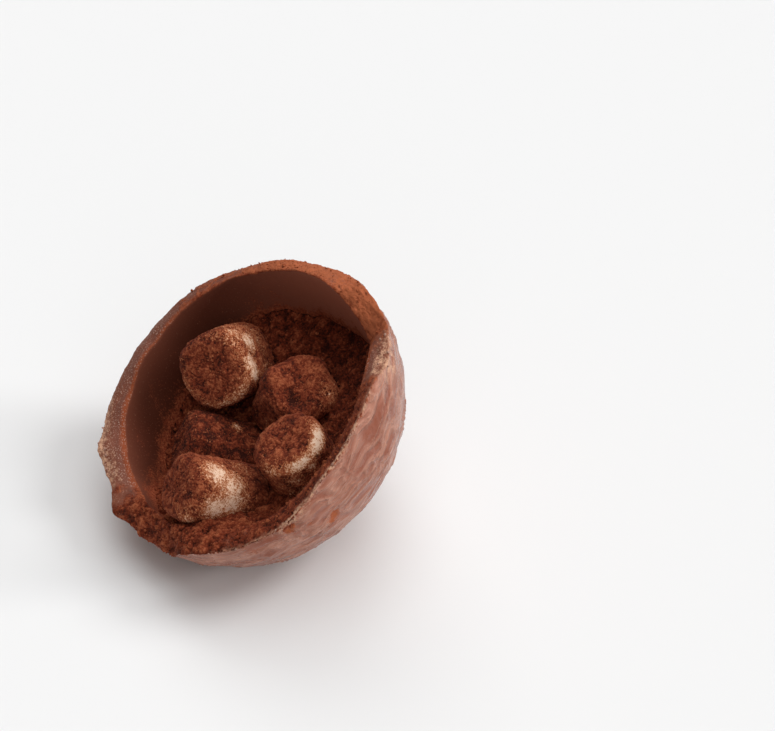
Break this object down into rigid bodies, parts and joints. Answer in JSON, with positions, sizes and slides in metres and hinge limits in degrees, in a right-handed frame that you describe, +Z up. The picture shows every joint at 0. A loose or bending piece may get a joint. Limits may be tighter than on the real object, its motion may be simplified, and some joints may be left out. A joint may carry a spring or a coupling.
{
  "type": "hot chocolate sphere half",
  "caption": "Broken half of a hollow milk chocolate sphere, resting on its back, holding drinking chocolate powder and marshmallows to melt into hot milk.",
  "frame": {"origin": "centre of the small flat spot under the shell, on the surface it rests on", "axes": "+Z up; the bowl's opening tips 33 degrees from up towards -Y, so -Y is the low, open side and +Y the high back of the shell; +X to the right seen from the open side"},
  "size_m": [0.065, 0.0582, 0.0478],
  "materials": {
    "milk_chocolate": "satin",
    "cocoa_powder": "matte",
    "dusted_marshmallow": "matte"
  },
  "bodies": {
    "root": {"shell_half": "milk_chocolate", "powder_bank": "cocoa_powder", "marshmallow_1": "dusted_marshmallow", "marshmallow_2": "dusted_marshmallow", "marshmallow_3": "dusted_marshmallow", "marshmallow_4": "dusted_marshmallow", "marshmallow_5": "dusted_marshmallow"}
  },
  "joints": []
}
